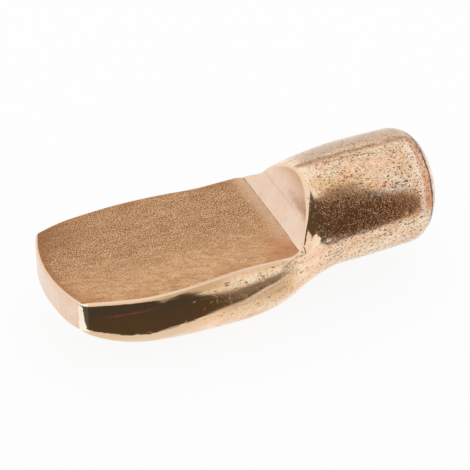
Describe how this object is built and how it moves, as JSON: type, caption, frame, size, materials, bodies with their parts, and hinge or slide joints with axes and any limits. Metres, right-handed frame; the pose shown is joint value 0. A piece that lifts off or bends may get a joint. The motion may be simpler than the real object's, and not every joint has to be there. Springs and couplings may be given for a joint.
{
  "type": "shelf support pin",
  "caption": "Spoon-shaped metal shelf support: a round pin plugs into the cabinet side and a flat blade carries the shelf.",
  "frame": {"origin": "on the axis of the round pin, at the end of the neck, where the pin leaves the cabinet side", "axes": "+X along the pin axis, towards the pin's free end; +Z normal to the seat, upwards; the blade points along -X"},
  "size_m": [0.0164, 0.0062, 0.0057],
  "materials": {
    "plated_steel": "tumbled and copper plated, matt on the pressed seat and glossy elsewhere"
  },
  "bodies": {
    "root": {"shelf_pin": "plated_steel"}
  },
  "joints": []
}
